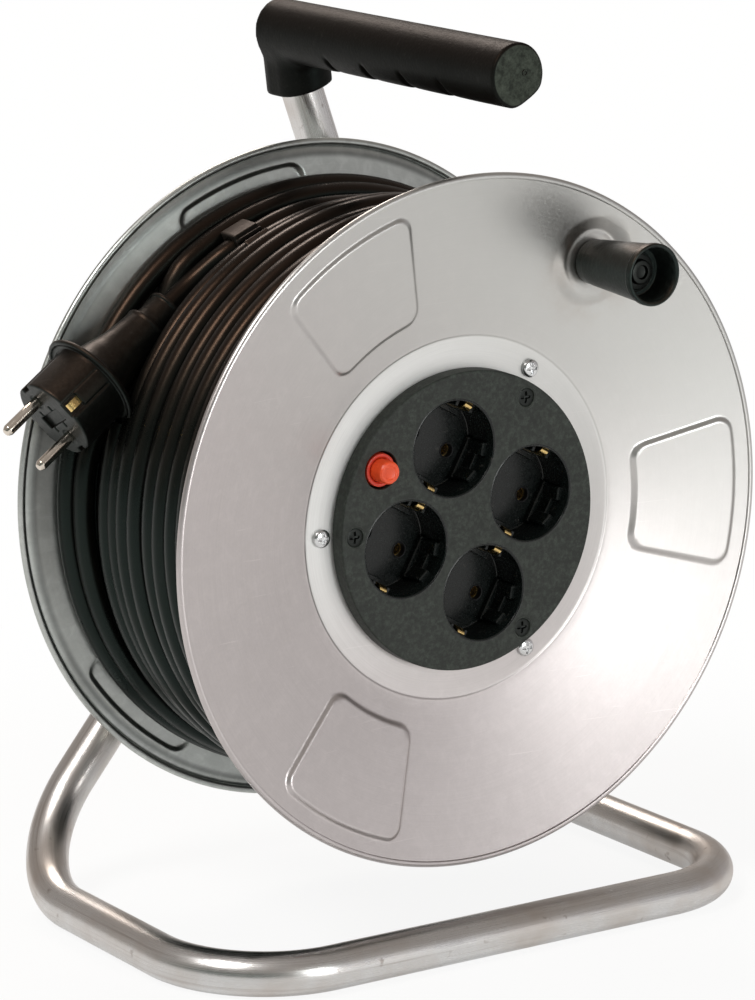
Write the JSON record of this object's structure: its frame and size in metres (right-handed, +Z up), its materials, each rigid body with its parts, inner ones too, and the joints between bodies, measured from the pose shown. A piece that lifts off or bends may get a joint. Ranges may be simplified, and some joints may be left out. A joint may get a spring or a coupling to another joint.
{
  "type": "cable reel",
  "caption": "Free-standing extension cable reel: dished steel drum on a bent tube stand, recessed earthed sockets, reset button, crank knob and carry grip.",
  "frame": {"origin": "on the floor, below the middle of the drum: on the drum axis seen from above, midway between the two flange rims", "axes": "+Z up; the drum axis runs along Y, the socket face looks towards -Y; +X is to the right when the socket face is seen from the front"},
  "size_m": [0.3065, 0.2101, 0.3753],
  "materials": {
    "tube_steel": "satin, drawn tube with stains",
    "handle_plastic": "matt, fine texture",
    "zinc_steel": "zinc plated",
    "dark_steel": "blackened",
    "spring_steel": "drawn wire",
    "front_sheet": "satin galvanised sheet",
    "rear_sheet": "satin galvanised sheet",
    "core_plastic": "moulded",
    "bush_nylon": "natural nylon",
    "socket_plastic": "moulded, semi-matt",
    "contact_brass": "stamped",
    "cutout_red": "moulded",
    "button_red": "moulded",
    "wire_brown": "insulated core",
    "wire_black": "insulated core",
    "wire_blue": "insulated core",
    "wire_green": "insulated core",
    "cable_rubber": "smooth sheath",
    "clip_plastic": "moulded",
    "plug_rubber": "moulded",
    "pin_nickel": "nickel plated",
    "knob_plastic": "moulded"
  },
  "bodies": {
    "frame": {"frame_tube": "tube_steel", "handle_grip": "handle_plastic", "handle_screw": "zinc_steel", "axle": "zinc_steel", "axle_saddle_washer": "zinc_steel", "axle_nut": "zinc_steel", "axle_spacer": "core_plastic", "axle_washer": "zinc_steel", "axle_circlip": "dark_steel"},
    "drum": {"front_flange": "front_sheet", "rear_flange": "rear_sheet", "drum_core": "core_plastic", "hub_bush": "bush_nylon", "front_flange_screws": "zinc_steel", "rear_flange_screws": "zinc_steel", "socket_plate": "socket_plastic", "plate_screws": "dark_steel", "contact_cover": "core_plastic", "cover_screws": "zinc_steel", "live_contacts": "contact_brass", "neutral_contacts": "contact_brass", "earth_contacts": "contact_brass", "thermal_cutout": "cutout_red", "button_spring": "spring_steel", "live_wire": "wire_brown", "cutout_link": "wire_black", "neutral_wire": "wire_blue", "earth_wire": "wire_green", "cable_inner_end": "cable_rubber", "strain_relief": "core_plastic", "strain_relief_screws": "zinc_steel", "cable_coil": "cable_rubber", "cable_tail": "cable_rubber", "cable_clip": "clip_plastic", "plug_body": "plug_rubber", "plug_pins": "pin_nickel", "plug_earth_contacts": "contact_brass", "crank_screw": "dark_steel", "crank_washer": "zinc_steel", "crank_sleeve": "zinc_steel", "crank_nut": "zinc_steel"},
    "knob": {"crank_knob": "knob_plastic"},
    "button": {"reset_button": "button_red"}
  },
  "joints": [
    {"name": "drum_spin", "type": "hinge", "parent": "frame", "child": "drum", "pos_m": [0, 0, 0.175], "axis": [0, 1, 0], "continuous": true},
    {"name": "crank_knob_spin", "type": "hinge", "parent": "drum", "child": "knob", "pos_m": [0.0587, -0.0575, 0.27667], "axis": [0, 1, 0], "continuous": true},
    {"name": "reset_button_press", "type": "slide", "parent": "drum", "child": "button", "axis": [0, 1, 0], "range_m": [0, 0.003]}
  ]
}
